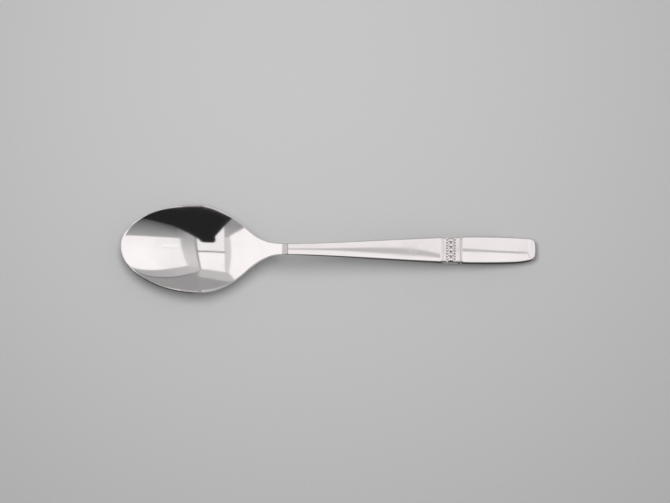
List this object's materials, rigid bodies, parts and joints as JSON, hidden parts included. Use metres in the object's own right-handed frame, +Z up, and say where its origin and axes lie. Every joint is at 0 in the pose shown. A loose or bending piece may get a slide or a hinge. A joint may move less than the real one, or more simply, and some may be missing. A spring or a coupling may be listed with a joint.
{
  "type": "demitasse spoon",
  "caption": "Small polished steel coffee spoon with a pointed oval bowl, a slim collared neck and a flat hollow handle crossed by a beaded band near its rounded end.",
  "frame": {"origin": "on the table plane, under the middle of the spoon's length and width", "axes": "+X from the bowl to the end of the handle, +Y across the spoon, +Z up out of the bowl"},
  "size_m": [0.11, 0.0238, 0.0122],
  "materials": {
    "polished_steel": "mirror-polished stainless steel with fine polishing lines",
    "collar_steel": "satin stainless steel, brushed round the neck",
    "band_steel": "polished stainless steel, darker in the recesses",
    "bead_steel": "polished stainless steel beads and mouldings, worn bright on top",
    "filler_cement": "dull set cement, sealed inside the handle"
  },
  "bodies": {
    "root": {"bowl": "polished_steel", "neck_collar": "collar_steel", "handle_upper_shell": "polished_steel", "handle_lower_shell": "polished_steel", "handle_filler": "filler_cement", "band_strap": "band_steel", "bead_row_centre": "bead_steel", "bead_row_bowl_side": "bead_steel", "bead_row_tip_side": "bead_steel", "band_moulding_bowl_side": "bead_steel", "band_moulding_tip_side": "bead_steel"}
  },
  "joints": []
}
